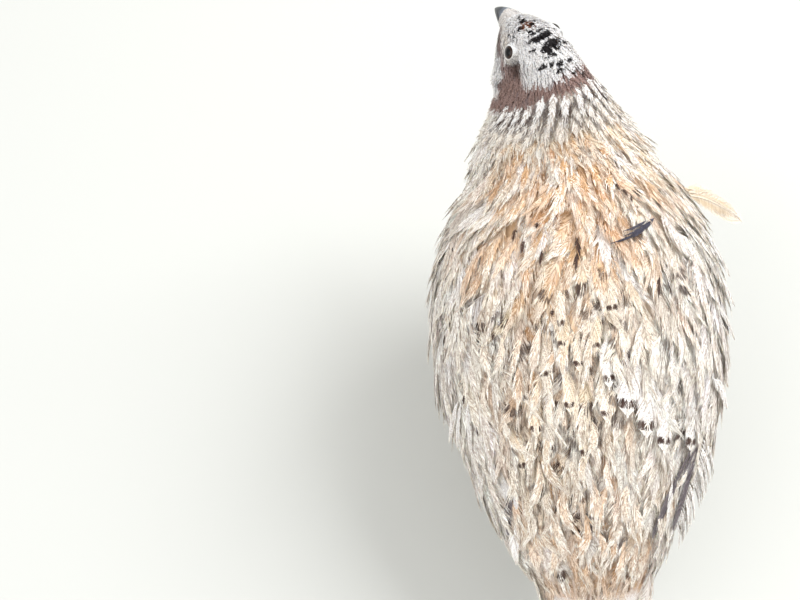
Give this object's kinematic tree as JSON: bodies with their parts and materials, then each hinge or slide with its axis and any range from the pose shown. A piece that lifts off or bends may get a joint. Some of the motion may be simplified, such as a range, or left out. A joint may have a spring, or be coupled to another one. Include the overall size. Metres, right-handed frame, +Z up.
{
  "type": "coturnix quail model",
  "caption": "Still, life-size coturnix quail hen, standing with fluffed plumage and her head turned to her left.",
  "frame": {"origin": "middle of the box round the bird, at floor level under her feet", "axes": "+Z up; the bird faces -Y; +X is her left side"},
  "size_m": [0.0996, 0.1778, 0.1528],
  "materials": {
    "body_feathers": "soft matt plumage",
    "head_feathers": "short matt plumage",
    "bill_horn": "satin horn",
    "eye": "wet gloss",
    "leg_skin": "scaled satin skin"
  },
  "bodies": {
    "root": {"torso": "body_feathers", "neck": "body_feathers", "tail": "body_feathers", "wing_left": "body_feathers", "wing_right": "body_feathers", "thigh_left": "body_feathers", "thigh_right": "body_feathers", "head": "head_feathers", "bill_upper": "bill_horn", "bill_lower": "bill_horn", "eye_left": "eye", "eye_right": "eye", "foot_left": "leg_skin", "foot_right": "leg_skin"}
  },
  "joints": []
}
